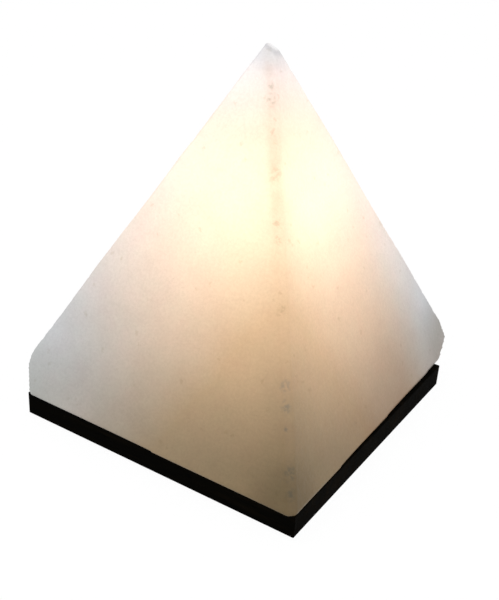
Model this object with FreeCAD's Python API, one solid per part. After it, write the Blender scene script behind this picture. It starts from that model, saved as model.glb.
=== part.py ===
import FreeCAD, Part
import math
import os

# Salt crystal lamp: a salt pyramid on a wood plate, with a lamp holder and a small bulb in its cavity.
# All sizes are in millimetres. The model is built about the lamp's axis, with z = 0 at the underside of
# the wood plate, and is moved at the end so that its origin is the middle of the ground it covers.
# The near corner of the pyramid points to +X, -Y. The cord channel opens at the back, +Y.

V = FreeCAD.Vector
UP = V(0, 0, 1)

# ---------------------------------------------------------------- driving dimensions
# wood plate
plate_side = 150.0
plate_thickness = 11.8
plate_edge_ease = 0.3
plate_hole_margin = 2.5
channel_width = 9.0
channel_depth = 8.0

# rubber feet
foot_radius = 7.0
foot_taper = 0.8
foot_height = 2.5
foot_inset = 15.0

# salt pyramid, with how far its uncut corners reach past the plate's corners, along X and along Y
salt_height = 168.0
apex_x = -5.7
apex_y = 14.5
front_left_reach = (13.0, 1.0)
front_right_reach = (0.8, 3.0)
back_right_reach = (-2.5, 26.7)
back_left_reach = (13.0, 17.0)
# the two hidden sides end below in an upright band that is broken back to the plate's edge
left_band_reach = 4.4
left_seat_reach = -1.6
left_break_height = 11.0
back_band_reach_right = 19.0
back_band_reach_left = 11.0
back_seat_reach_right = 4.5
back_seat_reach_left = 1.5
back_break_height = 5.5
# ridges and tip
front_ridge_flat = 4.5
side_ridge_flat = 0.8
back_ridge_flat = 2.4
tip_break_depth = 4.1
tip_break_tilt = 30.0
tip_break_heading = 17.0
salt_rim_rounding = 0.5

# cavity in the salt: a bore that narrows around the bulb and ends in a dome
bulb_room = 4.5
cavity_cone_height = 12.0
cavity_end_room = 0.5
cavity_top_room = 1.3
cavity_least_step = 1.0

# fixings between plate and salt
fixing_spacing = 88.0
plug_radius = 4.0
plug_length = 22.0
plug_hole_spare = 1.0
plug_slot_width = 1.2
plug_solid_length = 7.3
screw_radius = 1.9
screw_bite = 18.4
screw_point_length = 4.0
screw_head_radius = 3.8
screw_head_height = 2.4
screw_head_rounding = 0.95
screw_hole_radius = 2.3
washer_radius = 4.6
washer_thickness = 0.8
counterbore_radius = 5.2
counterbore_depth = 5.0
cross_slot_reach = 2.45
cross_slot_width = 0.9
cross_slot_depth = 1.2

# thread of the bulb cap
thread_pitch = 2.822
thread_major_radius = 6.9
thread_minor_radius = 6.15
turns_to_unscrew = 3.0
thread_end_room = 1.2
shell_thread_missing_turns = 0.5

# bulb
bulb_length = 60.0
bulb_radius = 13.0
bulb_neck_radius = 7.1
bulb_glass_wall = 0.7
bulb_shoulder_height = 8.75
bulb_neck_depth = 3.0
bulb_cap_height = 22.0
bulb_cap_wall = 0.85
cap_collar_height = 4.0
cap_collar_wall = 0.5
cap_flare_low = 0.4
cap_flare_high = 0.6
tip_contact_radius = 2.6
tip_contact_height = 1.2
tip_contact_crown = 0.5
insulator_height = 2.8
insulator_hole_radius = 0.75
insulator_foot_margin = 0.6
insulator_rim_inset = 0.2
stem_radius = 2.2
stem_height = 17.0
stem_flare_edge = 0.8
stem_flare_height = 5.0
stem_end_ease = 1.0
lead_radius = 0.25
lead_spacing = 2.4
lead_spread = 9.0
lead_height = 8.0
lead_bend_radius = 1.0
tip_lead_heights = (2.0, 6.0)
side_lead_heights = (3.0, 7.0, 12.0)
lead_rise_above_stem = 2.0
lead_spread_rise = 5.0
filament_radius = 0.35
filament_rise = 2.5
support_radius = 0.15
support_spacing = 1.6
support_spread = 4.0
support_bite = 1.9
support_hole_depth = 2.0
support_rise = 1.5
support_bend_radius = 0.8

# lamp holder
holder_radius = 13.0
holder_wall = 2.0
holder_floor = 3.0
holder_joint_length = 4.0
holder_lip_height = 1.5
holder_edge = 1.0
throat_room = 1.75
wiring_room = 2.3
carrier_floor = 6.0
carrier_height = 15.0
carrier_ledge_width = 1.2
carrier_ledge_height = 1.0
shell_wall = 0.8
shell_opening_radius = 4.4
shell_rim_drop = 0.8
contact_lift = 3.0
leaf_thickness = 0.5
leaf_width = 3.6
leaf_low_x = 1.2
leaf_turn_x = 3.3
leaf_high_x = 1.6
leaf_end_x = -1.2
leaf_end_room = 0.1
terminal_length = 6.4
terminal_width = 6.0
terminal_height = 7.0
terminal_gap = 2.4
terminal_wire_hole_radius = 1.3
terminal_wire_hole_depth = 4.2
terminal_screw_drop = 4.55
terminal_screw_radius = 1.5
terminal_screw_bite = 1.6
terminal_screw_head_radius = 2.5
terminal_screw_head_height = 1.6
terminal_screw_slot = 0.6
terminal_screw_slot_depth = 0.8
rivet_radius = 0.9
rivet_bite = 1.9
rivet_head_radius = 1.3
rivet_head_height = 0.7
rivet_wall_room = 0.1
rivet_edge_room = 0.4
rivet_hole_spare = 0.1

# cord entry and clip
nipple_radius = 5.0
nipple_bore_radius = 3.6
nipple_projection = 1.5
nut_across_flats = 14.0
nut_thickness = 3.0
gland_lift = 9.0
gland_radius = 7.5
gland_bore_radius = 3.3
gland_height = 7.2
gland_bore_length = 4.0
gland_end_radius = 5.8
gland_end_taper = 2.5
bracket_thickness = 1.0
bracket_width = 12.0
arm_space = 7.0
arm_thickness = 0.8
arm_width = 8.0
arm_tip_room = 4.0
arm_root_setback = 1.0
arm_knee_reach = 0.2
arm_knee_rise = 3.3
arm_bow_rise = 26.3
arm_tip_rise = 38.3

# clearances
seat_clearance = 0.05
root_clearance = 0.3
wall_clearance = 0.35
thread_clearance = 0.15
contact_clearance = 0.05

# modelling: how far a cutter runs past what it cuts, and how close two levels are to count as one
cut_overrun = 1.0
level_tolerance = 0.01

# ---------------------------------------------------------------- derived sizes and levels
half_plate = plate_side / 2
salt_base_z = plate_thickness
apex = V(apex_x, apex_y, salt_base_z + salt_height)
fixing_places = [(sx * fixing_spacing / 2, sy * fixing_spacing / 2) for sx in (-1, 1) for sy in (-1, 1)]

gland_z = gland_lift
gland_top_z = gland_z + gland_height
nipple_bottom_z = gland_z + gland_bore_length
bracket_z = gland_top_z + nut_thickness
holder_z = bracket_z + bracket_thickness
holder_floor_z = holder_z + holder_floor
nipple_top_z = holder_floor_z + nut_thickness + nipple_projection
ledge_z = nipple_top_z + wiring_room + terminal_height
holder_joint_z = ledge_z - carrier_ledge_height
carrier_top_z = ledge_z + carrier_height
well_floor_z = ledge_z + carrier_floor
terminal_screw_z = ledge_z - terminal_screw_drop

bulb_tip_z = well_floor_z + contact_lift
insulator_z = bulb_tip_z + tip_contact_height
cap_bottom_z = insulator_z + insulator_height
cap_top_z = bulb_tip_z + bulb_cap_height
collar_z = cap_top_z - cap_collar_height
neck_z = cap_top_z - bulb_neck_depth
bulb_top_z = bulb_tip_z + bulb_length
dome_z = bulb_top_z - bulb_radius
stem_top_z = neck_z + stem_height
lead_top_z = stem_top_z + lead_height
holder_top_z = cap_top_z + holder_lip_height

holder_inner_radius = holder_radius - holder_wall
collar_bore_radius = bulb_neck_radius + seat_clearance
collar_radius = collar_bore_radius + cap_collar_wall
throat_radius = collar_radius + throat_room
ridge_radius = thread_major_radius - thread_minor_radius
cap_thread_z = cap_bottom_z + ridge_radius
cap_thread_turns = (collar_z - cap_bottom_z - 2 * ridge_radius - thread_end_room) / thread_pitch
shell_thread_turns = cap_thread_turns - shell_thread_missing_turns
shell_bore_radius = thread_major_radius + thread_clearance
shell_radius = shell_bore_radius + shell_wall
shell_rim_z = collar_z - shell_rim_drop
nut_bore_radius = nipple_radius + seat_clearance
rivet_hole_radius = rivet_radius + seat_clearance
shell_rivet_x = shell_bore_radius - rivet_head_radius - rivet_wall_room
centre_rivet_x = -shell_opening_radius + rivet_head_radius + rivet_edge_room
leaf_corner_x = math.sqrt(shell_opening_radius ** 2 - (leaf_width / 2) ** 2)
leaf_back_x = -leaf_corner_x + leaf_thickness / 2 + leaf_end_room

cavity_narrow_radius = bulb_radius + bulb_room
cavity_radius = max(holder_radius + arm_space, cavity_narrow_radius + cavity_least_step)
plate_hole_radius = cavity_radius + plate_hole_margin
arm_root_z = bracket_z + bracket_thickness / 2
arm_tip_x = holder_radius + arm_tip_room
arm_knee_x = arm_tip_x + arm_knee_reach
arm_root_x = arm_tip_x - arm_root_setback
arm_bow_x = math.sqrt(cavity_radius ** 2 - (arm_width / 2) ** 2) - wall_clearance - arm_thickness / 2
cavity_cone_z = max(holder_top_z, arm_root_z + arm_tip_rise) + cavity_end_room
cavity_dome_z = bulb_top_z + turns_to_unscrew * thread_pitch + cavity_top_room - cavity_narrow_radius


# ---------------------------------------------------------------- helpers
def cylinder(radius, z_low, z_high, x=0.0, y=0.0):
    return Part.makeCylinder(radius, z_high - z_low, V(x, y, z_low))


def rod(radius, start, end):
    run = end - start
    return Part.makeCylinder(radius, run.Length, start, run)


def block(x_low, x_high, y_low, y_high, z_low, z_high):
    return Part.makeBox(x_high - x_low, y_high - y_low, z_high - z_low, V(x_low, y_low, z_low))


def tube(outer, inner, z_low, z_high, x=0.0, y=0.0):
    bore = cylinder(inner, z_low - cut_overrun, z_high + cut_overrun, x, y)
    return cylinder(outer, z_low, z_high, x, y).cut(bore)


def line(start, end):
    """Straight edge between two (radius, z) points."""
    return Part.makeLine(V(start[0], 0, start[1]), V(end[0], 0, end[1]))


def arc(start, middle, end):
    """Arc through three (radius, z) points."""
    points = [V(r, 0, z) for r, z in (start, middle, end)]
    return Part.Arc(*points).toShape()


def revolved(edges):
    return Part.Face(Part.Wire(edges)).revolve(V(0, 0, 0), UP, 360)


def turned(points):
    """Solid of revolution about the lamp's axis from a closed outline of (radius, z) points."""
    corners = [V(r, 0, z) for r, z in points]
    return Part.Face(Part.makePolygon(corners + corners[:1])).revolve(V(0, 0, 0), UP, 360)


def joined(shapes):
    first, *rest = shapes
    return first.fuse(rest).removeSplitter() if rest else first


def crown(edge_radius, edge_z, pole_z):
    """Arc of a sphere about the lamp's axis, from its edge to its pole on the axis."""
    rise = pole_z - edge_z
    sphere = (edge_radius ** 2 + rise ** 2) / (2 * rise)
    half_angle = math.atan2(edge_radius, abs(sphere) - abs(rise)) / 2
    middle = (abs(sphere) * math.sin(half_angle), pole_z - sphere * (1 - math.cos(half_angle)))
    return arc((edge_radius, edge_z), middle, (0, pole_z))


def beyond(point, normal):
    """Large block that fills the space beyond a plane, on the side that the normal points to."""
    size = 6 * plate_side
    space = Part.makeBox(size, size, size, V(-size / 2, -size / 2, 0))
    space.Placement = FreeCAD.Placement(point, FreeCAD.Rotation(UP, normal)).multiply(space.Placement)
    return space


def bent_strip(points, thickness, width):
    """Strip of sheet metal that follows (x, z) points, with rounded bends and ends."""
    pieces = []
    for (x0, z0), (x1, z1) in zip(points, points[1:]):
        length = math.hypot(x1 - x0, z1 - z0)
        run = block(0, length, -width / 2, width / 2, -thickness / 2, thickness / 2)
        angle = -math.degrees(math.atan2(z1 - z0, x1 - x0))
        run.rotate(V(0, 0, 0), V(0, 1, 0), angle)
        run.translate(V(x0, 0, z0))
        pieces.append(run)
    for x, z in points:
        pieces.append(Part.makeCylinder(thickness / 2, width, V(x, -width / 2, z), V(0, 1, 0)))
    return joined(pieces)


def bent_wire(points, radius, bend_radius):
    """Round wire of straight runs joined by tangent arcs."""
    edges = []
    start = points[0]
    for before, corner, after in zip(points, points[1:], points[2:]):
        towards = (before - corner).normalize()
        onwards = (after - corner).normalize()
        half_angle = towards.getAngle(onwards) / 2
        setback = bend_radius / math.tan(half_angle)
        arc_start = corner + towards * setback
        arc_end = corner + onwards * setback
        bisector = (towards + onwards).normalize()
        arc_middle = corner + bisector * (bend_radius / math.sin(half_angle) - bend_radius)
        edges.append(Part.makeLine(start, arc_start))
        edges.append(Part.Arc(arc_start, arc_middle, arc_end).toShape())
        start = arc_end
    edges.append(Part.makeLine(start, points[-1]))
    profile = Part.Wire(Part.makeCircle(radius, points[0], points[1] - points[0]))
    return Part.Wire(edges).makePipeShell([profile], True, False)


def thread_ridge(centre_radius, ridge_radius, z_low, turns, phase_turns=0.0):
    """Right-handed helical ridge of round section. A phase of one turn lifts it by one pitch."""
    helix = Part.makeHelix(thread_pitch, thread_pitch * turns, centre_radius)
    rise = thread_pitch / (2 * math.pi * centre_radius)
    profile = Part.Wire(Part.makeCircle(ridge_radius, V(centre_radius, 0, 0), V(0, 1, rise)))
    ridge = Part.Wire(helix.Edges).makePipeShell([profile], True, True)
    ridge.translate(V(0, 0, z_low + phase_turns * thread_pitch))
    return ridge


def at_fixings(make):
    """One copy of a shape at each of the four fixing places, as a group of separate solids."""
    return Part.makeCompound([make(x, y) for x, y in fixing_places])


# ---------------------------------------------------------------- salt and wood
def salt_corner(side_x, side_y, reach):
    return V(side_x * (half_plate + reach[0]), side_y * (half_plate + reach[1]), salt_base_z)


def pyramid(corners):
    faces = [Part.Face(Part.makePolygon(corners + corners[:1]))]
    for start, end in zip(corners, corners[1:] + corners[:1]):
        faces.append(Part.Face(Part.makePolygon([start, end, apex, start])))
    return Part.makeSolid(Part.makeShell(faces))


def face_normal(start, end):
    """Outward normal of the sloping face above the base line from start to end."""
    return (end - start).cross(apex - start).normalize()


def ridge_cut(corners, index, flat_width):
    """Space beyond the flat that is left where a ridge is taken off."""
    corner = corners[index]
    before = face_normal(corners[index - 1], corner)
    after = face_normal(corner, corners[(index + 1) % len(corners)])
    outward = (before + after).normalize()
    half_angle = (math.pi - before.getAngle(after)) / 2
    depth = flat_width / (2 * math.tan(half_angle))
    return beyond(corner - outward * depth, outward)


def tip_cut():
    """Space beyond the break that the tip ends in, which slopes down to the right."""
    tilt = math.radians(tip_break_tilt)
    heading = math.radians(tip_break_heading)
    outward = V(math.sin(tilt) * math.cos(heading), math.sin(tilt) * math.sin(heading), math.cos(tilt))
    return beyond(apex - UP * tip_break_depth, outward)


def left_side_cuts():
    """The upright band of the left side, and the break below it."""
    band = V(-half_plate - left_band_reach, 0, salt_base_z)
    seat = V(-half_plate - left_seat_reach, 0, salt_base_z)
    run = left_band_reach - left_seat_reach
    return [beyond(band, V(-1, 0, 0)), beyond(seat, V(-left_break_height, 0, -run))]


def back_side_cuts():
    """The upright band of the back, which runs askew, and the break below it."""
    right = V(half_plate, half_plate + back_band_reach_right, salt_base_z)
    left = V(-half_plate, half_plate + back_band_reach_left, salt_base_z)
    seat_right = V(half_plate, half_plate + back_seat_reach_right, salt_base_z)
    seat_left = V(-half_plate, half_plate + back_seat_reach_left, salt_base_z)
    lifted = (right + left) * 0.5 + UP * back_break_height
    below = (seat_left - seat_right).cross(lifted - seat_right)
    return [beyond(right, (left - right).cross(UP)), beyond(seat_right, below)]


def cavity():
    z0 = salt_base_z - cut_overrun
    z1 = cavity_cone_z + cavity_cone_height
    top = cavity_dome_z + cavity_narrow_radius
    return revolved([line((0, z0), (cavity_radius, z0)),
                     line((cavity_radius, z0), (cavity_radius, cavity_cone_z)),
                     line((cavity_radius, cavity_cone_z), (cavity_narrow_radius, z1)),
                     line((cavity_narrow_radius, z1), (cavity_narrow_radius, cavity_dome_z)),
                     crown(cavity_narrow_radius, cavity_dome_z, top),
                     line((0, top), (0, z0))])


def salt_pyramid():
    corners = [salt_corner(-1, -1, front_left_reach), salt_corner(1, -1, front_right_reach),
               salt_corner(1, 1, back_right_reach), salt_corner(-1, 1, back_left_reach)]
    cuts = [ridge_cut(corners, 0, side_ridge_flat), ridge_cut(corners, 1, front_ridge_flat),
            ridge_cut(corners, 2, side_ridge_flat), ridge_cut(corners, 3, back_ridge_flat)]
    cuts += left_side_cuts() + back_side_cuts() + [tip_cut()]
    salt = pyramid(corners)
    for cut in cuts:
        salt = salt.cut(cut)
    rim = [edge for edge in salt.Edges if max(v.Z for v in edge.Vertexes) < salt_base_z + level_tolerance]
    salt = salt.makeFillet(salt_rim_rounding, rim)
    hole_radius = plug_radius + seat_clearance
    hole_top_z = salt_base_z + plug_length + plug_hole_spare
    plug_holes = at_fixings(lambda x, y: cylinder(hole_radius, salt_base_z - cut_overrun, hole_top_z, x, y))
    return salt.cut(cavity()).cut(plug_holes)


def wood_base():
    plate = block(-half_plate, half_plate, -half_plate, half_plate, 0, plate_thickness)
    plate = plate.makeChamfer(plate_edge_ease, plate.Edges)
    channel = block(-channel_width / 2, channel_width / 2, 0, plate_side, -cut_overrun, channel_depth)
    holes = [cylinder(plate_hole_radius, -cut_overrun, plate_thickness + cut_overrun), channel]
    for x, y in fixing_places:
        holes.append(cylinder(screw_hole_radius, -cut_overrun, plate_thickness + cut_overrun, x, y))
        holes.append(cylinder(counterbore_radius, -cut_overrun, counterbore_depth, x, y))
    return plate.cut(holes)


def rubber_foot(side_x, side_y):
    reach = half_plate - foot_inset
    return Part.makeCone(foot_radius - foot_taper, foot_radius, foot_height,
                         V(side_x * reach, side_y * reach, -foot_height))


def wall_plug(x, y):
    bore = screw_radius + seat_clearance
    plug = tube(plug_radius, bore, salt_base_z, salt_base_z + plug_length, x, y)
    reach = plug_radius + cut_overrun
    slot = block(x - plug_slot_width / 2, x + plug_slot_width / 2, y - reach, y + reach,
                 salt_base_z + plug_solid_length, salt_base_z + plug_length + cut_overrun)
    return plug.cut(slot)


def base_screw(x, y):
    under_head = counterbore_depth - washer_thickness
    head_z = under_head - screw_head_height
    tip_z = salt_base_z + screw_bite
    head = cylinder(screw_head_radius, head_z, under_head, x, y)
    rim = [edge for edge in head.Edges if edge.BoundBox.ZMax < head_z + level_tolerance]
    head = head.makeFillet(screw_head_rounding, rim)
    shank = cylinder(screw_radius, under_head, tip_z - screw_point_length, x, y)
    point = Part.makeCone(screw_radius, 0, screw_point_length, V(x, y, tip_z - screw_point_length))
    half_slot = cross_slot_width / 2
    slot_low, slot_high = head_z - cut_overrun, head_z + cross_slot_depth
    slots = [block(x - along, x + along, y - across, y + across, slot_low, slot_high)
             for along, across in ((cross_slot_reach, half_slot), (half_slot, cross_slot_reach))]
    return joined([head, shank, point]).cut(slots)


def base_washer(x, y):
    inner = screw_radius + 2 * seat_clearance
    return tube(washer_radius, inner, counterbore_depth - washer_thickness, counterbore_depth, x, y)


# ---------------------------------------------------------------- bulb
def envelope_side(offset):
    """Outline of the glass from its neck to its pole, moved inwards by an offset."""
    radius = bulb_radius - offset
    neck = bulb_neck_radius - offset
    shoulder_z = cap_top_z + bulb_shoulder_height
    curve = Part.BezierCurve()
    curve.setPoles([V(neck, 0, cap_top_z), V(neck, 0, shoulder_z),
                    V(radius, 0, shoulder_z), V(radius, 0, dome_z)])
    return [line((neck, neck_z), (neck, cap_top_z)), curve.toShape(),
            crown(radius, dome_z, bulb_top_z - offset)]


def bulb_glass():
    """Pear-shaped envelope, open at its neck, where the stem closes it."""
    ends = [line((0, bulb_top_z), (0, bulb_top_z - bulb_glass_wall)),
            line((bulb_neck_radius, neck_z), (bulb_neck_radius - bulb_glass_wall, neck_z))]
    edges = envelope_side(0) + envelope_side(bulb_glass_wall) + ends
    return revolved(Part.__sortEdges__(edges))


def bulb_cap():
    bore = thread_minor_radius - bulb_cap_wall
    sleeve = turned([(bore, cap_bottom_z), (thread_minor_radius, cap_bottom_z),
                     (thread_minor_radius, collar_z - cap_flare_low),
                     (collar_radius, collar_z + cap_flare_high),
                     (collar_radius, cap_top_z), (collar_bore_radius, cap_top_z),
                     (collar_bore_radius, neck_z), (bore, neck_z)])
    return sleeve.fuse(thread_ridge(thread_minor_radius, ridge_radius, cap_thread_z, cap_thread_turns))


def bulb_insulator():
    foot = tip_contact_radius + insulator_foot_margin
    rim = thread_minor_radius - insulator_rim_inset
    return turned([(insulator_hole_radius, insulator_z), (foot, insulator_z), (rim, cap_bottom_z),
                   (insulator_hole_radius, cap_bottom_z)])


def bulb_tip():
    edge_z = bulb_tip_z + tip_contact_crown
    return revolved([line((0, insulator_z), (tip_contact_radius, insulator_z)),
                     line((tip_contact_radius, insulator_z), (tip_contact_radius, edge_z)),
                     crown(tip_contact_radius, edge_z, bulb_tip_z),
                     line((0, bulb_tip_z), (0, insulator_z))])


def lead_wires():
    """One wire from the bulb's tip and one from the wall of its cap, both up to the filament."""
    near = lead_spacing / 2
    far = lead_spread / 2
    wall_x = thread_minor_radius - bulb_cap_wall - lead_radius - seat_clearance
    tip_low, tip_high = [cap_bottom_z + height for height in tip_lead_heights]
    side_low, side_middle, side_high = [cap_bottom_z + height for height in side_lead_heights]
    starts = ((1, [(0, insulator_z + contact_clearance), (0, tip_low), (near, tip_high)]),
              (-1, [(wall_x, side_low), (wall_x, side_middle), (near, side_high)]))
    wires = []
    for side, start in starts:
        path = start + [(near, stem_top_z + lead_rise_above_stem), (far, stem_top_z + lead_spread_rise),
                        (far, lead_top_z)]
        wires.append(bent_wire([V(side * x, 0, z) for x, z in path], lead_radius, lead_bend_radius))
    return Part.makeCompound(wires)


def bulb_stem():
    flare = bulb_neck_radius - bulb_glass_wall - seat_clearance
    stem = turned([(0, neck_z), (flare, neck_z), (flare, neck_z + stem_flare_edge),
                   (stem_radius, neck_z + stem_flare_height), (stem_radius, stem_top_z - stem_end_ease),
                   (stem_radius - stem_end_ease, stem_top_z), (0, stem_top_z)])
    wire_hole = lead_radius + seat_clearance
    support_hole = support_radius + seat_clearance
    channels = []
    for side in (-1, 1):
        channels.append(cylinder(wire_hole, neck_z - cut_overrun, stem_top_z + cut_overrun,
                                 side * lead_spacing / 2))
        channels.append(cylinder(support_hole, stem_top_z - support_hole_depth, stem_top_z + cut_overrun,
                                 0, side * support_spacing / 2))
    return stem.cut(channels)


def filament():
    """Outer form of the coiled wire, bowed up between the ends of the two lead wires."""
    z = lead_top_z + filament_radius
    end = lead_spread / 2
    path = Part.Arc(V(-end, 0, z), V(0, 0, z + filament_rise), V(end, 0, z)).toShape()
    tangent = path.tangentAt(path.FirstParameter)
    profile = Part.Wire(Part.makeCircle(filament_radius, V(-end, 0, z), tangent))
    return Part.Wire([path]).makePipeShell([profile], True, False)


def filament_underside(x):
    bow = ((lead_spread / 2) ** 2 + filament_rise ** 2) / (2 * filament_rise)
    centre_z = lead_top_z + filament_radius + filament_rise - bow
    return centre_z + math.sqrt((bow - filament_radius) ** 2 - x ** 2)


def filament_supports():
    """Two thin wires from the top of the stem to the filament, on either side of its middle."""
    x = support_spread / 2
    end_z = filament_underside(x) - 2 * contact_clearance
    wires = []
    for side in (-1, 1):
        y = side * support_spacing / 2
        path = [V(0, y, stem_top_z - support_bite), V(0, y, stem_top_z + support_rise),
                V(side * x, 0, end_z)]
        wires.append(bent_wire(path, support_radius, support_bend_radius))
    return Part.makeCompound(wires)


# ---------------------------------------------------------------- lamp holder
def holder_cap():
    joint_top_z = holder_joint_z + holder_joint_length
    inner = holder_inner_radius
    spigot = inner + holder_wall / 2 - seat_clearance
    cup = inner - carrier_ledge_width
    return turned([(nut_bore_radius, holder_z), (holder_radius - holder_edge, holder_z),
                   (holder_radius, holder_z + holder_edge), (holder_radius, holder_joint_z),
                   (spigot, holder_joint_z), (spigot, joint_top_z), (inner, joint_top_z), (inner, ledge_z),
                   (cup, ledge_z), (cup, holder_floor_z), (nut_bore_radius, holder_floor_z)])


def holder_shell():
    joint_top_z = holder_joint_z + holder_joint_length
    inner = holder_inner_radius
    socket = inner + holder_wall / 2
    return turned([(socket, holder_joint_z), (holder_radius, holder_joint_z),
                   (holder_radius, holder_top_z - holder_edge), (holder_radius - holder_edge, holder_top_z),
                   (throat_radius, holder_top_z), (throat_radius, carrier_top_z), (inner, carrier_top_z),
                   (inner, joint_top_z), (socket, joint_top_z)])


def contact_carrier():
    outer = holder_inner_radius - 2 * seat_clearance
    well = shell_radius + 2 * seat_clearance
    carrier = turned([(0, ledge_z), (outer, ledge_z), (outer, carrier_top_z), (well, carrier_top_z),
                      (well, well_floor_z), (0, well_floor_z)])
    holes = [cylinder(rivet_hole_radius, ledge_z - cut_overrun, well_floor_z + cut_overrun, x)
             for x in (shell_rivet_x, centre_rivet_x)]
    return carrier.cut(holes)


def screw_shell():
    floor_z = well_floor_z + shell_wall
    sleeve = turned([(shell_opening_radius, well_floor_z), (shell_radius, well_floor_z),
                     (shell_radius, shell_rim_z), (shell_bore_radius, shell_rim_z),
                     (shell_bore_radius, floor_z), (shell_opening_radius, floor_z)])
    ridge = thread_ridge(shell_bore_radius, ridge_radius - thread_clearance / 2, cap_thread_z,
                         shell_thread_turns, 0.5)
    rivet_hole = cylinder(rivet_hole_radius, well_floor_z - cut_overrun, floor_z + cut_overrun, shell_rivet_x)
    return sleeve.fuse(ridge).cut(rivet_hole)


def centre_contact():
    low = well_floor_z + leaf_thickness / 2
    high = bulb_tip_z - contact_clearance - leaf_thickness / 2
    leaf = bent_strip([(leaf_back_x, low), (leaf_low_x, low), (leaf_turn_x, (low + high) / 2),
                       (leaf_high_x, high), (leaf_end_x, high)], leaf_thickness, leaf_width)
    return leaf.cut(cylinder(rivet_hole_radius, low - cut_overrun, low + cut_overrun, centre_rivet_x))


def terminal(side, rivet_x):
    """Brass block under the carrier, on one side of the middle, with a wire hole and a screw hole."""
    middle = side * (terminal_gap + terminal_length) / 2
    z0 = ledge_z - terminal_height
    body = block(middle - terminal_length / 2, middle + terminal_length / 2,
                 -terminal_width / 2, terminal_width / 2, z0, ledge_z)
    wire_hole = cylinder(terminal_wire_hole_radius, z0 - cut_overrun, z0 + terminal_wire_hole_depth, middle)
    screw_hole = rod(terminal_screw_radius + seat_clearance, V(middle, 0, terminal_screw_z),
                     V(middle, terminal_width, terminal_screw_z))
    rivet_hole = cylinder(rivet_hole_radius, ledge_z - rivet_bite - rivet_hole_spare,
                          ledge_z + cut_overrun, rivet_x)
    return body.cut([wire_hole, screw_hole, rivet_hole])


def terminal_screw(side):
    x = side * (terminal_gap + terminal_length) / 2
    z = terminal_screw_z
    face_y = terminal_width / 2
    head_y = face_y + terminal_screw_head_height
    shank = rod(terminal_screw_radius, V(x, face_y - terminal_screw_bite, z), V(x, face_y, z))
    head = rod(terminal_screw_head_radius, V(x, face_y, z), V(x, head_y, z))
    reach = terminal_screw_head_radius
    half_slot = terminal_screw_slot / 2
    slot = block(x - reach, x + reach, head_y - terminal_screw_slot_depth, head_y + cut_overrun,
                 z - half_slot, z + half_slot)
    return joined([shank, head]).cut(slot)


def contact_rivet(x, seat_z):
    shank = cylinder(rivet_radius, ledge_z - rivet_bite, seat_z, x)
    head = cylinder(rivet_head_radius, seat_z, seat_z + rivet_head_height, x)
    return joined([shank, head])


def contact_rivets():
    return Part.makeCompound([contact_rivet(shell_rivet_x, well_floor_z + shell_wall),
                              contact_rivet(centre_rivet_x, well_floor_z + leaf_thickness)])


def entry_nipple():
    return tube(nipple_radius, nipple_bore_radius, nipple_bottom_z, nipple_top_z)


def hex_nut(z):
    corner = nut_across_flats / math.sqrt(3)
    outline = [V(corner * math.cos(math.radians(a)), corner * math.sin(math.radians(a)), z)
               for a in range(0, 361, 60)]
    nut = Part.Face(Part.makePolygon(outline)).extrude(UP * nut_thickness)
    return nut.cut(cylinder(nut_bore_radius, z - cut_overrun, z + nut_thickness + cut_overrun))


def nipple_nuts():
    return Part.makeCompound([hex_nut(gland_top_z), hex_nut(holder_floor_z)])


def cord_gland():
    return turned([(gland_bore_radius, gland_z), (gland_end_radius, gland_z),
                   (gland_radius, gland_z + gland_end_taper), (gland_radius, gland_top_z),
                   (nut_bore_radius, gland_top_z), (nut_bore_radius, nipple_bottom_z),
                   (gland_bore_radius, nipple_bottom_z)])


def clip_bracket():
    reach = arm_root_x - arm_thickness / 2 - root_clearance
    strip = block(-reach, reach, -bracket_width / 2, bracket_width / 2, bracket_z, holder_z)
    return strip.cut(cylinder(nut_bore_radius, bracket_z - cut_overrun, holder_z + cut_overrun))


def clip_arm(side):
    points = [(arm_root_x, arm_root_z), (arm_knee_x, arm_root_z + arm_knee_rise),
              (arm_bow_x, arm_root_z + arm_bow_rise), (arm_tip_x, arm_root_z + arm_tip_rise)]
    return bent_strip([(side * x, z) for x, z in points], arm_thickness, arm_width)


# ---------------------------------------------------------------- the whole lamp
def build():
    return {
        "salt_pyramid": salt_pyramid(),
        "wood_base": wood_base(),
        "wall_plugs": at_fixings(wall_plug),
        "base_screws": at_fixings(base_screw),
        "base_washers": at_fixings(base_washer),
        "foot_front_left": rubber_foot(-1, -1),
        "foot_front_right": rubber_foot(1, -1),
        "foot_back_left": rubber_foot(-1, 1),
        "foot_back_right": rubber_foot(1, 1),
        "holder_shell": holder_shell(),
        "holder_cap": holder_cap(),
        "contact_carrier": contact_carrier(),
        "screw_shell": screw_shell(),
        "centre_contact": centre_contact(),
        "side_terminal": terminal(1, shell_rivet_x),
        "centre_terminal": terminal(-1, centre_rivet_x),
        "terminal_screws": Part.makeCompound([terminal_screw(side) for side in (-1, 1)]),
        "contact_rivets": contact_rivets(),
        "entry_nipple": entry_nipple(),
        "nipple_nuts": nipple_nuts(),
        "cord_gland": cord_gland(),
        "clip_bracket": clip_bracket(),
        "clip_arm_left": clip_arm(-1),
        "clip_arm_right": clip_arm(1),
        "bulb_glass": bulb_glass(),
        "bulb_cap": bulb_cap(),
        "bulb_insulator": bulb_insulator(),
        "bulb_tip": bulb_tip(),
        "bulb_stem": bulb_stem(),
        "lead_wires": lead_wires(),
        "filament": filament(),
        "filament_supports": filament_supports(),
    }


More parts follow.
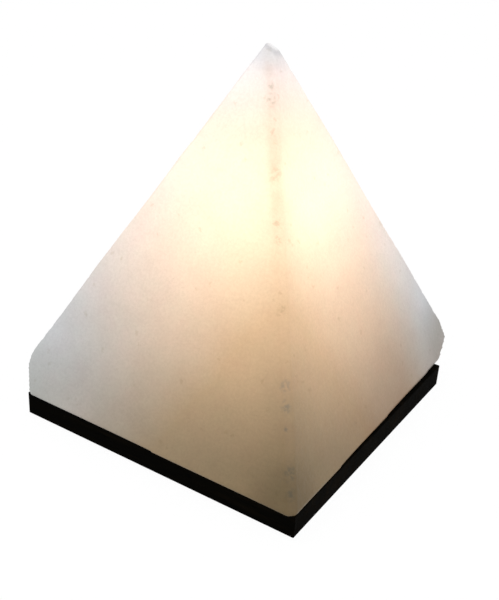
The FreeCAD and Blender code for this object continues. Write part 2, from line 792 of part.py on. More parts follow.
def main():
    shapes = build()
    box = Part.makeCompound(list(shapes.values())).optimalBoundingBox(False)
    middle = box.Center
    to_origin = V(-middle.x, -middle.y, -box.ZMin)
    os.makedirs("parts", exist_ok=True)
    for node, shape in shapes.items():
        shape.translate(to_origin)
        shape.exportStep("parts/%s.step" % node)
        print("%-18s solids %d, valid %s, volume %.1f"
              % (node, len(shape.Solids), shape.isValid(), shape.Volume))
    print("lamp axis at x %.4f y %.4f, plate underside at z %.4f" % (to_origin.x, to_origin.y, to_origin.z))
    print("overall size %.3f %.3f %.3f" % (box.XLength, box.YLength, box.ZLength))


main()
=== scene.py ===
import math

import bpy
import numpy as np
from mathutils import Matrix, Vector, noise


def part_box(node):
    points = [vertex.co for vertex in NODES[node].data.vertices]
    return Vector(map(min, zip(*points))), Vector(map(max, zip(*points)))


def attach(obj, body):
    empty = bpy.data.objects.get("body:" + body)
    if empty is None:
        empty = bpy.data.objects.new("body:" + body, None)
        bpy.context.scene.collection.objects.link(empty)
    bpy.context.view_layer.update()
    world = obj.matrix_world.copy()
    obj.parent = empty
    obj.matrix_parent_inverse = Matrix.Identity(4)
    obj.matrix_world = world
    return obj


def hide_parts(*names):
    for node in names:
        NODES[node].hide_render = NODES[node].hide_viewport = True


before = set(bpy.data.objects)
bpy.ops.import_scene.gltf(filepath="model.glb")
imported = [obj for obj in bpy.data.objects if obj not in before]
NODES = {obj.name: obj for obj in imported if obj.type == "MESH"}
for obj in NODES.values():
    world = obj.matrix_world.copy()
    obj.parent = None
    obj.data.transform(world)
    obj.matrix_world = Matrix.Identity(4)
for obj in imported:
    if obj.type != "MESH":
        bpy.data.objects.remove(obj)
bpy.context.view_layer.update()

# Lengths are in millimetres, and become the model's metres where they are multiplied by MM. The lamps,
# the floor and the bumps' distances are in metres, and the textures' scales are per metre.
MM = 0.001
BULB_RADIUS = 13.0


# ---------------------------------------------------------------- places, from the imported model
def box_mm(name):
    """The lowest and the highest corner of a node's box."""
    low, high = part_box(name)
    return low / MM, high / MM


plate_low, plate_high = box_mm("wood_base")
glass_top = box_mm("bulb_glass")[1].z
AXIS_X = (plate_low.x + plate_high.x) / 2
AXIS_Y = (plate_low.y + plate_high.y) / 2
SEAT_Z = plate_high.z
# The middle of the bulb's round end, above the plate's top.
BULB_HEIGHT = glass_top - BULB_RADIUS - SEAT_Z


def at(x, y, height):
    """A place in the model from millimetres off the lamp's axis and above the plate's top."""
    return Vector((AXIS_X + x, AXIS_Y + y, SEAT_Z + height)) * MM


# ---------------------------------------------------------------- camera
CAMERA_YAW = math.radians(31.38)
CAMERA_PITCH = math.radians(27.56)
CAMERA_ROLL = math.radians(3.675)
CAMERA_LENS = 57.14
SENSOR_WIDTH = 36
# The camera's place from the lamp's axis, and above the plate's underside.
CAMERA_X = 212.98
CAMERA_Y = -348.09
CAMERA_Z = 269.38


def make_camera():
    flat = math.cos(CAMERA_PITCH)
    ahead = Vector((-math.sin(CAMERA_YAW) * flat, math.cos(CAMERA_YAW) * flat, -math.sin(CAMERA_PITCH)))
    level = Vector((math.cos(CAMERA_YAW), math.sin(CAMERA_YAW), 0))
    upright = level.cross(ahead)
    right = math.cos(CAMERA_ROLL) * level + math.sin(CAMERA_ROLL) * upright
    up = -math.sin(CAMERA_ROLL) * level + math.cos(CAMERA_ROLL) * upright
    data = bpy.data.cameras.new("camera")
    data.lens = CAMERA_LENS
    data.sensor_width = SENSOR_WIDTH
    camera = bpy.data.objects.new("camera", data)
    place = Matrix((right, up, -ahead)).transposed().to_4x4()
    place.translation = Vector((AXIS_X + CAMERA_X, AXIS_Y + CAMERA_Y, plate_low.z + CAMERA_Z)) * MM
    camera.matrix_world = place
    bpy.context.scene.collection.objects.link(camera)
    bpy.context.scene.camera = camera


# ---------------------------------------------------------------- shader helper
HALF = (0.5, 0.5, 0.5)


class Shader:
    """A node material built by short calls."""

    def __init__(self, name, **surface):
        self.material = bpy.data.materials.new(name)
        self.material.use_nodes = True
        self.tree = self.material.node_tree
        self.surface = self.tree.nodes["Principled BSDF"]
        self.coords = self.node("ShaderNodeTexCoord").outputs["Object"]
        self.set(**surface)

    def node(self, kind, **settings):
        made = self.tree.nodes.new(kind)
        for key, value in settings.items():
            setattr(made, key, value)
        return made

    def feed(self, socket, value):
        """Links an output to an input, or sets the input to a number, a vector or a colour."""
        if isinstance(value, bpy.types.NodeSocket):
            self.tree.links.new(value, socket)
            return
        wide = hasattr(socket.default_value, "__len__")
        if wide and not hasattr(value, "__len__"):
            value = [value] * len(socket.default_value)
        elif wide and len(socket.default_value) == 4 and len(value) == 3:
            value = (*value, 1.0)
        socket.default_value = value

    def set(self, **surface):
        """Feeds inputs of the surface by their names, with underscores for the spaces."""
        for key, value in surface.items():
            self.feed(self.surface.inputs[key.replace("_", " ")], value)

    def wear(self, *names):
        """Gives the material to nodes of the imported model."""
        for name in names:
            slots = NODES[name].data.materials
            slots.clear()
            slots.append(self.material)

    def math(self, operation, *values):
        made = self.node("ShaderNodeMath", operation=operation)
        for socket, value in zip(made.inputs, values):
            self.feed(socket, value)
        return made.outputs[0]

    def vector(self, operation, *values, out="Vector"):
        made = self.node("ShaderNodeVectorMath", operation=operation)
        for socket, value in zip(made.inputs, values):
            self.feed(socket, value)
        return made.outputs[out]

    def measure(self, operation, *values):
        """A vector operation that gives a number."""
        return self.vector(operation, *values, out="Value")

    def noise(self, scale, detail=3.0, rough=0.55, coords=None, out="Fac"):
        made = self.node("ShaderNodeTexNoise")
        self.feed(made.inputs["Vector"], coords or self.coords)
        for name, value in (("Scale", scale), ("Detail", detail), ("Roughness", rough)):
            made.inputs[name].default_value = value
        return made.outputs[out]

    def streaks(self, scales, detail, rough=0.5, coords=None):
        """Noise with a scale of its own along each axis."""
        return self.noise(1, detail, rough, self.vector("MULTIPLY", coords or self.coords, scales))

    def drift(self, scale, detail, width):
        """A soft offset to either side of nothing, for a length in metres. The width is in millimetres."""
        return self.math("MULTIPLY", self.math("SUBTRACT", self.noise(scale, detail), 0.5), width * MM)

    def wander(self, scale, detail, rough, widths):
        """The place, moved unevenly. The widths along the axes are in millimetres."""
        offset = self.vector("SUBTRACT", self.noise(scale, detail, rough, out="Color"), HALF)
        return self.vector("ADD", self.coords, self.vector("MULTIPLY", offset, [w * MM for w in widths]))

    def cells(self, scale, coords=None, out="Distance"):
        made = self.node("ShaderNodeTexVoronoi")
        self.feed(made.inputs["Vector"], coords or self.coords)
        made.inputs["Scale"].default_value = scale
        return made.outputs[out]

    def fit(self, value, low, high, to_low=0.0, to_high=1.0, smooth=True):
        """Goes from to_low to to_high while the value goes from low to high, and stays there outside."""
        made = self.node("ShaderNodeMapRange", interpolation_type="SMOOTHSTEP" if smooth else "LINEAR")
        for socket, number in zip(made.inputs, (value, low, high, to_low, to_high)):
            self.feed(socket, number)
        return made.outputs["Result"]

    def span(self, length, low, high, to_low=0.0, to_high=1.0):
        """As fit, for a length in metres between two in millimetres."""
        return self.fit(length, low * MM, high * MM, to_low, to_high)

    def near(self, distance, reach, core):
        """1 within the core, which is a share of the reach, and 0 from the reach on."""
        return self.span(distance, reach * core, reach, 1, 0)

    def ramp(self, factor, stops):
        made = self.node("ShaderNodeValToRGB")
        points = made.color_ramp.elements
        while len(points) < len(stops):
            points.new(0.5)
        for point, (place, colour) in zip(points, stops):
            point.position = place
            point.color = (*colour, 1.0)
        self.feed(made.inputs["Fac"], factor)
        return made.outputs["Color"]

    def along(self, length, stops):
        """Colour that follows a length, from stops of (millimetres, colour)."""
        low, high = stops[0][0], stops[-1][0]
        places = [((place - low) / (high - low), colour) for place, colour in stops]
        return self.ramp(self.fit(length, low * MM, high * MM, smooth=False), places)

    def mix(self, factor, first, second, blend="MIX"):
        made = self.node("ShaderNodeMix", data_type="RGBA", blend_type=blend)
        sockets = [s for s in made.inputs if s.type == "RGBA"]
        self.feed(made.inputs["Factor"], factor)
        self.feed(sockets[0], first)
        self.feed(sockets[1], second)
        return [s for s in made.outputs if s.type == "RGBA"][0]

    def product(self, first, second):
        return self.mix(1.0, first, second, "MULTIPLY")

    def tinted(self, colour, tint, factor):
        return self.mix(factor, colour, self.product(colour, tint))

    def bump(self, height, strength, distance, normal=None):
        made = self.node("ShaderNodeBump")
        made.inputs["Strength"].default_value = strength
        made.inputs["Distance"].default_value = distance
        self.feed(made.inputs["Height"], height)
        if normal:
            self.feed(made.inputs["Normal"], normal)
        return made.outputs["Normal"]


# ---------------------------------------------------------------- places on the salt
# Points that reach this much less far than the furthest count as reaching as far.
LEVEL_WITHIN = 0.5
# How much a direction across a ridge rises for each step along x and y. A ridge's lower end reaches
# furthest in a direction that rises less than the one square to the ridge, its upper end in one that
# rises more.
RISE_TO_LOWER_END = 0.8
RISE_TO_UPPER_END = 1.3


def salt_point(reach):
    """The place on the salt that lies furthest in a direction, in the middle of all that reach as far."""
    reach = Vector(reach).normalized()
    points = [v.co for v in NODES["salt_pyramid"].data.vertices]
    furthest = max(point.dot(reach) for point in points)
    level = [point for point in points if furthest - point.dot(reach) < LEVEL_WITHIN * MM]
    return sum(level, Vector()) / len(level)


def ridge(x, y):
    """The lower and the upper end of the ridge above one corner."""
    return salt_point((x, y, RISE_TO_LOWER_END)), salt_point((x, y, RISE_TO_UPPER_END))


def foot(ends):
    """The place on the plate under a ridge's lower end."""
    return Vector((ends[0].x, ends[0].y, SEAT_Z * MM))


def ridge_point(ends, height):
    """The place on a ridge at a height above the plate."""
    low, high = ends
    return low.lerp(high, (SEAT_Z + height - low.z / MM) / ((high.z - low.z) / MM))


TIP = salt_point((0, 0, 1))
TIP_FACE = max(NODES["salt_pyramid"].data.polygons, key=lambda face: face.center.z)
NEAR_RIDGE = ridge(1, -1)
LEFT_RIDGE = ridge(-1, -1)
RIGHT_RIDGE = ridge(1, 1)
# Directions as seen from the near corner.
RIGHTWARDS = Vector((1, 1, 0)).normalized()
BACKWARDS = Vector((-1, 1, 0)).normalized()


# ---------------------------------------------------------------- the salt's light and colour
# The salt glows most above the bulb, where it gets thinner: the glow's middle is shifted from the bulb's.
# The glow fades to nothing at its reach, turns from yellow to orange between two distances on the way,
# and is a little duller on the left.
GLOW_SHIFT = Vector((8, 0, 12))
GLOW_REACH = 120
GLOW_STRENGTH = 1.34
GLOW_FALL = 1.5
GLOW_NEAR = (1.0, 0.73, 0.47)
GLOW_FAR = (1.0, 0.64, 0.385)
GLOW_TURNS = (25, 60)
LEFT_GLOW = (0.98, 0.965, 0.92)
LEFT_BAND = (-20, 10)

# The salt's colour with painted light, from the near corner to the back, by distance behind the lamp's
# axis. Painted shade makes it dark brown at the near corner, and painted back light makes it pale grey
# towards the back.
OWN_AND_PAINTED_LIGHT_COLOURS = (
    (-106, (0.19, 0.13, 0.06)),
    (-55, (0.3, 0.22, 0.13)),
    (-5, (0.48, 0.47, 0.46)),
    (15, (0.6, 0.62, 0.65)),
)
# Painted warmer light on the right face: away from the near ridge, and neither at the very front nor at the
# back.
WARM_LIGHT_ON_FACE = (0.84, 0.61, 0.42)
WARM_SIDE_BAND = (10, 90)
WARM_FRONT_BAND = (-110, -60)
WARM_BACK_BAND = (-35, 15)

# Tints that set in between two heights: low, high and tint. The first is painted cool light that makes the
# tip paler and bluer where it is thin.
HEIGHT_TINTS = (
    (126, 158, (1.03, 1.13, 1.27)),
    (100, 132, (1.0, 0.975, 0.955)),
)
# Painted shade in strips along the ridges, where their narrow flats turn from the light: ridge, reach and
# tint. They are faint below and full above.
SIDE_RIDGE_SHADE = (0.86, 0.88, 0.89)
RIDGE_SHADE_STRIPS = (
    (NEAR_RIDGE, 5.0, (0.93, 0.87, 0.84)),
    (LEFT_RIDGE, 1.6, SIDE_RIDGE_SHADE),
    (RIGHT_RIDGE, 1.6, SIDE_RIDGE_SHADE),
)
STRIP_CORE = 0.1
STRIP_BAND = (80, 112)
STRIP_BELOW = 0.15
# Painted shade at the ridges' feet, and a darker, cooler place at the tip: place, reach and tint.
DARK_PLACES = (
    (foot(NEAR_RIDGE), 28, (0.7, 0.7, 0.66)),
    (foot(LEFT_RIDGE), 34, (0.84, 0.86, 0.84)),
    (foot(RIGHT_RIDGE), 38, (0.62, 0.57, 0.51)),
    (TIP, 18, (0.86, 0.91, 0.93)),
)
DARK_CORE = 0.3
# Marks on the near ridge: height, reach and tint.
DARK_SPOT = (0.76, 0.78, 0.75)
COOL_SPOT = (0.68, 0.76, 0.88)
RIDGE_MARKS = (
    (149, 2, DARK_SPOT),
    (143, 3, DARK_SPOT),
    (132, 2, DARK_SPOT),
    (117, 4, DARK_SPOT),
    (99, 2, DARK_SPOT),
    (93, 2, DARK_SPOT),
    (69, 3, DARK_SPOT),
    (43, 3, COOL_SPOT),
    (36, 3, COOL_SPOT),
    (29, 2, COOL_SPOT),
    (14, 4, COOL_SPOT),
    (7, 3, COOL_SPOT),
)
MARK_CORE = 0.2
# How marks are squashed when their distance is taken, so that they come out taller than wide.
TALL_MARK = (1.0, 1.0, 0.6)
# The cut face at the tip is paler, and a darker line runs around under it, by depth below the face.
CUT_FACE = (1.12, 1.13, 1.14)
CUT_FACE_ENDS = (0.2, 0.6)
CUT_LINE = (0.86, 0.87, 0.88)
CUT_LINE_STARTS = (0.5, 0.9)
CUT_LINE_ENDS = (1.2, 2.6)
# Specks: one in the middle of each cell whose random colour is light enough.
SPECK = (0.9, 0.89, 0.86)
SPECK_SCALE = 150
SPECK_SIZE = (0.07, 0.2)
SPECK_CHANCE = 0.5


def sideways(s):
    """Metres to the right of the plane through the near ridge and the lamp's axis."""
    return s.measure("DOT_PRODUCT", s.vector("SUBTRACT", s.coords, at(0, 0, 0)), RIGHTWARDS)


def rise(s, low, high, to_low=0.0, to_high=1.0):
    """Goes from to_low to to_high between two heights above the plate."""
    height = s.measure("DOT_PRODUCT", s.coords, (0, 0, 1))
    return s.fit(height, at(0, 0, low).z, at(0, 0, high).z, to_low, to_high)


def glow_colour(s):
    middle = at(*GLOW_SHIFT) + Vector((0, 0, BULB_HEIGHT)) * MM
    distance = s.math("ADD", s.measure("DISTANCE", s.coords, middle), s.drift(28, 2, 8))
    left = s.fit(distance, 0, GLOW_REACH * MM, 1, 0, smooth=False)
    power = s.math("MULTIPLY", s.math("POWER", left, GLOW_FALL), GLOW_STRENGTH)
    hue = s.mix(s.span(distance, *GLOW_TURNS), GLOW_NEAR, GLOW_FAR)
    hue = s.tinted(hue, LEFT_GLOW, s.span(sideways(s), *LEFT_BAND, 1, 0))
    return s.product(hue, power)


# The salt's colour by depth, with painted shade towards the near corner and painted back light towards the
# back.
def own_and_painted_light_colour(s):
    from_axis = s.vector("SUBTRACT", s.coords, Vector((AXIS_X, AXIS_Y, 0)) * MM)
    depth = s.math("ADD", s.measure("DOT_PRODUCT", from_axis, BACKWARDS), s.drift(24, 3, 12))
    # Painted warmer light on the right face.
    warm = s.math("MULTIPLY", s.span(sideways(s), *WARM_SIDE_BAND), s.span(depth, *WARM_BACK_BAND, 1, 0))
    warm = s.math("MULTIPLY", warm, s.span(depth, *WARM_FRONT_BAND))
    return s.tinted(s.along(depth, OWN_AND_PAINTED_LIGHT_COLOURS), WARM_LIGHT_ON_FACE, warm)


def even_tint(s):
    """Blotches, clouds and grain all over the salt."""
    blotch = s.mix(s.noise(95, 3), (1.03, 0.97, 0.98), (0.98, 1.02, 0.98))
    cloud = s.fit(s.noise(60, 5, 0.6), 0.3, 0.7, 0.97, 1.03)
    grain = s.fit(s.noise(800, 3, 0.65), 0.25, 0.75, 0.955, 1.045)
    return s.product(blotch, s.math("MULTIPLY", cloud, grain))


def tint_ridge_shade(s, tint):
    # Painted shade along the ridges' flats.
    upper = rise(s, *STRIP_BAND, STRIP_BELOW, 1)
    for (low, high), reach, colour in RIDGE_SHADE_STRIPS:
        off = s.vector("CROSS_PRODUCT", s.vector("SUBTRACT", s.coords, low), (high - low).normalized())
        uneven = s.math("MULTIPLY", s.fit(s.noise(70, 3), 0.3, 0.6, 0.35, 1), upper)
        mask = s.math("MULTIPLY", s.near(s.measure("LENGTH", off), reach, STRIP_CORE), uneven)
        tint = s.tinted(tint, colour, mask)
    return tint


def tint_dark_places(s, tint):
    # Painted shade at the ridges' feet, and a darker place at the tip.
    for place, reach, colour in DARK_PLACES:
        off = s.measure("DISTANCE", s.coords, place)
        tint = s.tinted(tint, colour, s.near(off, reach, DARK_CORE))
    return tint


def tint_marks(s, tint, ragged):
    bits = s.fit(s.noise(420, 2), 0.36, 0.6)
    squashed = s.vector("MULTIPLY", ragged, TALL_MARK)
    for height, reach, colour in RIDGE_MARKS:
        place = ridge_point(NEAR_RIDGE, height) * Vector(TALL_MARK)
        off = s.measure("DISTANCE", squashed, place)
        tint = s.tinted(tint, colour, s.math("MULTIPLY", s.near(off, reach, MARK_CORE), bits))
    return tint


def tint_cut_face(s, tint):
    under = s.measure("DOT_PRODUCT", s.vector("SUBTRACT", s.coords, TIP_FACE.center), -TIP_FACE.normal)
    tint = s.tinted(tint, CUT_FACE, s.span(under, *CUT_FACE_ENDS, 1, 0))
    line = s.math("MULTIPLY", s.span(under, *CUT_LINE_STARTS), s.span(under, *CUT_LINE_ENDS, 1, 0))
    return s.tinted(tint, CUT_LINE, line)


def tint_specks(s, tint, ragged):
    speck = s.fit(s.cells(SPECK_SCALE, ragged), *SPECK_SIZE, 1, 0)
    rare = s.math("GREATER_THAN", s.cells(SPECK_SCALE, ragged, out="Color"), SPECK_CHANCE)
    return s.tinted(tint, SPECK, s.math("MULTIPLY", speck, rare))


def salt_tint(s):
    """What the salt's colour, with its painted light, and its glow are both multiplied by, with painted
    shade along the ridges and at their feet.
    """
    ragged = s.wander(260, 4, 0.7, (6, 6, 6))
    tint = even_tint(s)
    for low, high, colour in HEIGHT_TINTS:
        tint = s.tinted(tint, colour, rise(s, low, high))
    tint = tint_ridge_shade(s, tint)
    tint = tint_dark_places(s, tint)
    tint = tint_marks(s, tint, ragged)
    tint = tint_cut_face(s, tint)
    return tint_specks(s, tint, ragged)


def salt_material():
    s = Shader("salt", Roughness=0.45, IOR=1.54, Specular_IOR_Level=0.3, Emission_Strength=1.0)
    tint = salt_tint(s)
    s.set(Base_Color=s.product(own_and_painted_light_colour(s), tint), Emission_Color=s.product(glow_colour(s), tint))
    sawn = s.bump(s.streaks((60, 60, 420), 3), strength=0.12, distance=0.0006)
    coarse = s.bump(s.noise(130, 4, 0.6), strength=0.22, distance=0.001, normal=sawn)
    fine = s.math("ADD", s.noise(800, 3, 0.65), s.cells(420))
    s.set(Normal=s.bump(fine, strength=0.22, distance=0.0004, normal=coarse))
    return s.material


# ---------------------------------------------------------------- the salt's surface
VOXEL = 0.9
# The surface isn't changed at the cavity, which is within this radius and up to this height over the
# bulb's middle, or close to the plate. Beside the one and above the other the change sets in over a
# short way.
CAVITY_RADIUS = 24
CAVITY_OVER_BULB = 28
CAVITY_EDGE = 4
SEAT_MARGIN = 0.6
SEAT_EDGE = 2
# Waves, ripples and grain: length, depth and where in the noise they are taken.
SWELLS = (
    (34, 0.35, Vector((0, 0, 0))),
    (11, 0.12, Vector((7, 3, 1))),
    (3.2, 0.04, Vector((0, 0, 0))),
)
# Chips along the ridges. They go inwards only, where the noise is under the negative of their level.
CHIP_LENGTH = 4.2
CHIP_DEPTH = 0.6
CHIP_SHIFT = Vector((2, 9, 4))
CHIP_LEVEL = 0.15
CHIP_REACH = 5
# How far the whole surface is set in.
INSET = 0.1


def ridge_nearness(points):
    """How near each point is to one of the ridges that show: 1 on it, 0 from the chips' reach on."""
    nearest = np.full(len(points), np.inf)
    for low, high in (NEAR_RIDGE, LEFT_RIDGE, RIGHT_RIDGE):
        run = np.array((high - low).normalized())
        nearest = np.minimum(nearest, np.linalg.norm(np.cross(points - np.array(low) / MM, run), axis=1))
    return np.clip(1 - nearest / CHIP_REACH, 0, 1)


def free_share(points):
    """How freely the surface may move at each point: 0 at the cavity and the plate, 1 away from both."""
    radius = np.hypot(points[:, 0] - AXIS_X, points[:, 1] - AXIS_Y)
    height = points[:, 2] - SEAT_Z
    beside = np.clip((radius - CAVITY_RADIUS) / CAVITY_EDGE, 0, 1)
    free = np.where(height > BULB_HEIGHT + CAVITY_OVER_BULB, 1.0, beside)
    return free * np.clip((height - SEAT_MARGIN) / SEAT_EDGE, 0, 1)


def unevenness(place, nearness):
    """How far the surface stands out at a place, given how near a ridge is."""
    swell = sum(noise.noise(place / length + shift) * depth for length, depth, shift in SWELLS)
    chip = min(0.0, noise.noise(place / CHIP_LENGTH + CHIP_SHIFT) + CHIP_LEVEL)
    return swell + CHIP_DEPTH * chip * nearness - INSET


def salt_block():
    """The salt as its own mesh: the CAD block with small even faces, made uneven within its own box."""
    piece = bpy.data.objects.new("salt_block", NODES["salt_pyramid"].data.copy())
    bpy.context.scene.collection.objects.link(piece)
    remesh = piece.modifiers.new("even", "REMESH")
    remesh.mode = "VOXEL"
    remesh.voxel_size = VOXEL * MM
    bpy.context.view_layer.update()
    made = bpy.data.meshes.new_from_object(piece.evaluated_get(bpy.context.evaluated_depsgraph_get()))
    piece.modifiers.clear()
    piece.data = made
    count = len(made.vertices)
    points = np.empty(count * 3)
    normals = np.empty(count * 3)
    made.vertices.foreach_get("co", points)
    made.vertices.foreach_get("normal", normals)
    points = points.reshape(-1, 3) / MM
    normals = normals.reshape(-1, 3)
    free = free_share(points)
    nearness = ridge_nearness(points)
    moved = np.zeros(count)
    for i in np.nonzero(free > 0)[0]:
        moved[i] = unevenness(Vector(points[i]), nearness[i])
    points += normals * (moved * free)[:, None]
    points = np.clip(points, *box_mm("salt_pyramid"))
    made.vertices.foreach_set("co", (points * MM).ravel())
    made.update()
    made.polygons.foreach_set("use_smooth", [True] * len(made.polygons))
    made.materials.clear()
    made.materials.append(salt_material())
    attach(piece, "lamp_body")
    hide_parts("salt_pyramid")


# ---------------------------------------------------------------- the other materials
PORE_BLACK = (0.0005, 0.0005, 0.0004)
STAIN = (
    (0.3, (0.0006, 0.0006, 0.0004)),
    (0.5, (0.0017, 0.0014, 0.0008)),
    (0.62, (0.005, 0.0036, 0.002)),
    (0.75, (0.011, 0.0075, 0.004)),
)
# Texture scales of drawn metal across its lines and along them.
ACROSS_LINES = 2600
ALONG_LINES = 90


def wood():
    """Black-stained wood with its grain along x."""
    s = Shader("stained_wood", Specular_IOR_Level=0.008, IOR=1.5)
    bent = s.wander(9, 2, 0.55, (0, 12, 12))
    fibre = s.streaks((14, 300, 300), 5, 0.62, bent)
    rings = s.streaks((4, 70, 70), 2, coords=bent)
    pores = s.fit(s.streaks((90, 1600, 1600), 2, coords=bent), 0.36, 0.46)
    figure = s.math("ADD", s.math("MULTIPLY", fibre, 0.6), s.math("MULTIPLY", rings, 0.4))
    s.set(Base_Color=s.mix(pores, PORE_BLACK, s.ramp(figure, STAIN)))
    s.set(Roughness=s.fit(fibre, 0.3, 0.7, 0.7, 0.85))
    rough = s.bump(figure, strength=0.2, distance=0.0004)
    s.set(Normal=s.bump(pores, strength=0.25, distance=0.0002, normal=rough))
    return s


def moulded(name, colour, roughness, speckle=0.03):
    """A moulded surface with uneven shade, dust and a faint texture."""
    s = Shader(name, IOR=1.5)
    shade = s.fit(s.noise(55, 3), 0.3, 0.7, 1 - speckle, 1 + speckle)
    dust = s.fit(s.noise(1500, 2), 0.3, 0.7, 1 - speckle / 2, 1 + speckle / 2)
    s.set(Base_Color=s.product(s.product(colour, shade), dust))
    s.set(Roughness=s.fit(s.noise(240, 3), 0.3, 0.7, roughness - 0.06, roughness + 0.06))
    s.set(Normal=s.bump(s.noise(2400, 2), strength=0.12, distance=0.0001))
    return s


def rubber():
    s = moulded("black_rubber", (0.016, 0.016, 0.017), roughness=0.78, speckle=0.12)
    s.set(Specular_IOR_Level=0.3, Normal=s.bump(s.noise(3200, 3, 0.6), strength=0.3, distance=0.0002))
    return s


def ceramic():
    s = Shader("steatite", IOR=1.52)
    mottle = s.mix(s.noise(160, 4), (0.8, 0.78, 0.71), (0.88, 0.86, 0.8))
    pits = s.fit(s.cells(900), 0.08, 0.2)
    s.set(Base_Color=s.mix(pits, (0.62, 0.59, 0.52), mottle))
    s.set(Roughness=s.fit(s.noise(500), 0.3, 0.7, 0.45, 0.62))
    s.set(Normal=s.bump(pits, strength=0.2, distance=0.0001))
    return s


def metal(name, colour, dull, roughness, across=(0, 0, 1), tarnish=0.4):
    """Metal with fine lines, close together along the axes in across, and duller patches."""
    s = Shader(name, Metallic=1.0)
    lines = s.streaks([ACROSS_LINES if part else ALONG_LINES for part in across], 3, 0.6)
    patches = s.fit(s.noise(130, 4, 0.6), 0.45, 0.7, 0.0, tarnish)
    tone = s.product(colour, s.fit(lines, 0.3, 0.7, 0.92, 1.06))
    s.set(Base_Color=s.mix(patches, tone, dull))
    polish = s.fit(lines, 0.3, 0.7, roughness - 0.05, roughness + 0.05)
    s.set(Roughness=s.math("ADD", polish, s.math("MULTIPLY", patches, 0.35)))
    s.set(Normal=s.bump(lines, strength=0.12, distance=0.00005))
    return s


def zinc():
    s = metal("zinced_steel", (0.72, 0.72, 0.68), (0.5, 0.5, 0.48), 0.34, tarnish=0.6)
    base = s.surface.inputs["Base Color"].links[0].from_socket
    s.set(Base_Color=s.mix(0.12, base, s.cells(520, out="Color"), "SOFT_LIGHT"))
    return s


def glass():
    s = Shader("clear_glass", Base_Color=(0.97, 0.98, 1.0), IOR=1.5, Transmission_Weight=1.0)
    s.set(Roughness=s.fit(s.noise(90, 3), 0.45, 0.8, 0.0, 0.06))
    s.set(Normal=s.bump(s.noise(38, 2), strength=0.08, distance=0.0004))
    return s


def tungsten():
    s = Shader("tungsten", Base_Color=(0.5, 0.45, 0.4), Metallic=0.6, Roughness=0.4, Emission_Strength=24.0)
    turns = s.streaks((5200, 260, 260), 1)
    s.set(Emission_Color=s.mix(turns, (1.0, 0.5, 0.16), (1.0, 0.78, 0.45)))
    s.set(Normal=s.bump(turns, strength=0.6, distance=0.0001))
    return s


def dress():
    wood().wear("wood_base")
    moulded("plug_plastic", (0.5, 0.5, 0.47), 0.5).wear("wall_plugs")
    zinc().wear("base_screws", "base_washers", "terminal_screws", "entry_nipple", "nipple_nuts")
    rubber().wear("foot_front_left", "foot_front_right", "foot_back_left", "foot_back_right")
    moulded("holder_plastic", (0.78, 0.75, 0.67), 0.4).wear("holder_shell", "holder_cap")
    ceramic().wear("contact_carrier")
    brass = metal("contact_brass", (0.78, 0.57, 0.27), (0.42, 0.27, 0.12), 0.27, tarnish=0.5)
    brass.wear("screw_shell", "centre_contact", "side_terminal", "centre_terminal", "contact_rivets")
    spring = metal("spring_steel", (0.58, 0.58, 0.59), (0.3, 0.31, 0.34), 0.28, (0, 1, 0), 0.35)
    spring.wear("clip_bracket", "clip_arm_left", "clip_arm_right")
    moulded("gland_plastic", (0.022, 0.022, 0.023), 0.52, 0.1).wear("cord_gland")
    glass().wear("bulb_glass", "bulb_stem")
    metal("cap_metal", (0.74, 0.74, 0.72), (0.5, 0.5, 0.48), 0.3).wear("bulb_cap")
    moulded("black_glass", (0.012, 0.012, 0.016), 0.14, 0.08).wear("bulb_insulator")
    metal("solder", (0.56, 0.56, 0.55), (0.32, 0.32, 0.31), 0.42, (1, 1, 1), 0.7).wear("bulb_tip")
    metal("bulb_wire", (0.5, 0.46, 0.4), (0.3, 0.22, 0.16), 0.32).wear("lead_wires", "filament_supports")
    tungsten().wear("filament")


# ---------------------------------------------------------------- floor, lights and background
FLOOR_RADIUS = 6
FLOOR_SIDES = 96
FLOOR_WHITE = (0.8, 0.8, 0.8)
# How much of what is behind the floor the camera sees through it.
FLOOR_CLEARNESS = 0.95
# The world's strength on the object, and as the background that the camera sees.
WORLD_LIGHT = 0.7
WORLD_WHITE = 1.02
# Lamps: name, place, size and power. They point at this height above the plate.
LAMPS = (
    ("key", (-0.5, -0.7, 1.2), 1.0, 5.0),
    ("fill", (1.0, -0.2, 0.9), 1.2, 3.0),
)
LIT_HEIGHT = 60


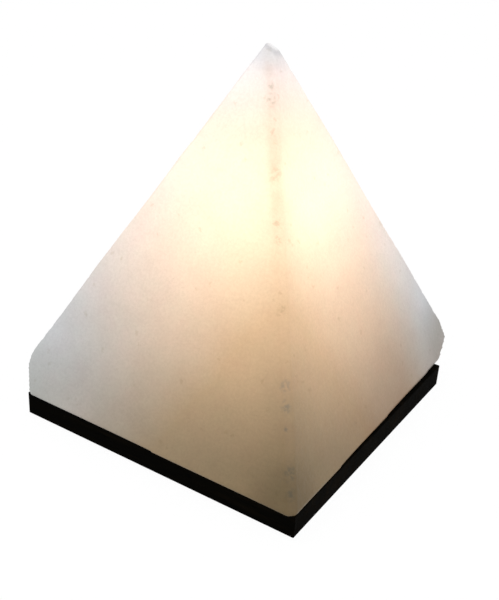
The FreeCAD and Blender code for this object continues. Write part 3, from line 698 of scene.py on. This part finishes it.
def floor():
    """A white floor. The camera looks through most of it, so that the holder shows when it is pulled out
    downwards, and it shows only a trace of the object's shadow."""
    s = Shader("floor", Base_Color=FLOOR_WHITE, Roughness=0.9)
    path = s.node("ShaderNodeLightPath")
    seen = s.math("MAXIMUM", path.outputs["Is Camera Ray"], path.outputs["Is Glossy Ray"])
    seen = s.math("MAXIMUM", seen, path.outputs["Is Transmission Ray"])
    clear = s.node("ShaderNodeBsdfTransparent")
    blend = s.node("ShaderNodeMixShader")
    s.feed(blend.inputs[0], s.math("MULTIPLY", seen, FLOOR_CLEARNESS))
    s.feed(blend.inputs[1], s.surface.outputs[0])
    s.feed(blend.inputs[2], clear.outputs[0])
    s.feed(s.tree.nodes["Material Output"].inputs["Surface"], blend.outputs[0])
    bpy.ops.mesh.primitive_circle_add(vertices=FLOOR_SIDES, radius=FLOOR_RADIUS, fill_type="NGON")
    ground = bpy.context.object
    ground.name = "ground"
    ground.data.materials.append(s.material)


def studio():
    """A world that is white to the camera and in reflections and dimmer on the object, and two lamps."""
    world = bpy.data.worlds.new("studio")
    bpy.context.scene.world = world
    world.use_nodes = True
    tree = world.node_tree
    back = tree.nodes["Background"]
    back.inputs["Color"].default_value = (1, 1, 1, 1)
    path = tree.nodes.new("ShaderNodeLightPath")
    seen = tree.nodes.new("ShaderNodeMath")
    seen.operation = "MAXIMUM"
    tree.links.new(path.outputs["Is Camera Ray"], seen.inputs[0])
    tree.links.new(path.outputs["Is Glossy Ray"], seen.inputs[1])
    level = tree.nodes.new("ShaderNodeMapRange")
    level.inputs["To Min"].default_value = WORLD_LIGHT
    level.inputs["To Max"].default_value = WORLD_WHITE
    tree.links.new(seen.outputs[0], level.inputs["Value"])
    tree.links.new(level.outputs[0], back.inputs["Strength"])
    for name, place, size, power in LAMPS:
        data = bpy.data.lights.new(name, "AREA")
        data.size = size
        data.energy = power
        lamp = bpy.data.objects.new(name, data)
        lamp.location = place
        lamp.rotation_euler = (at(0, 0, LIT_HEIGHT) - Vector(place)).to_track_quat("-Z", "Y").to_euler()
        bpy.context.scene.collection.objects.link(lamp)


make_camera()
dress()
salt_block()
floor()
studio()

bpy.context.scene.view_settings.view_transform = "Standard"
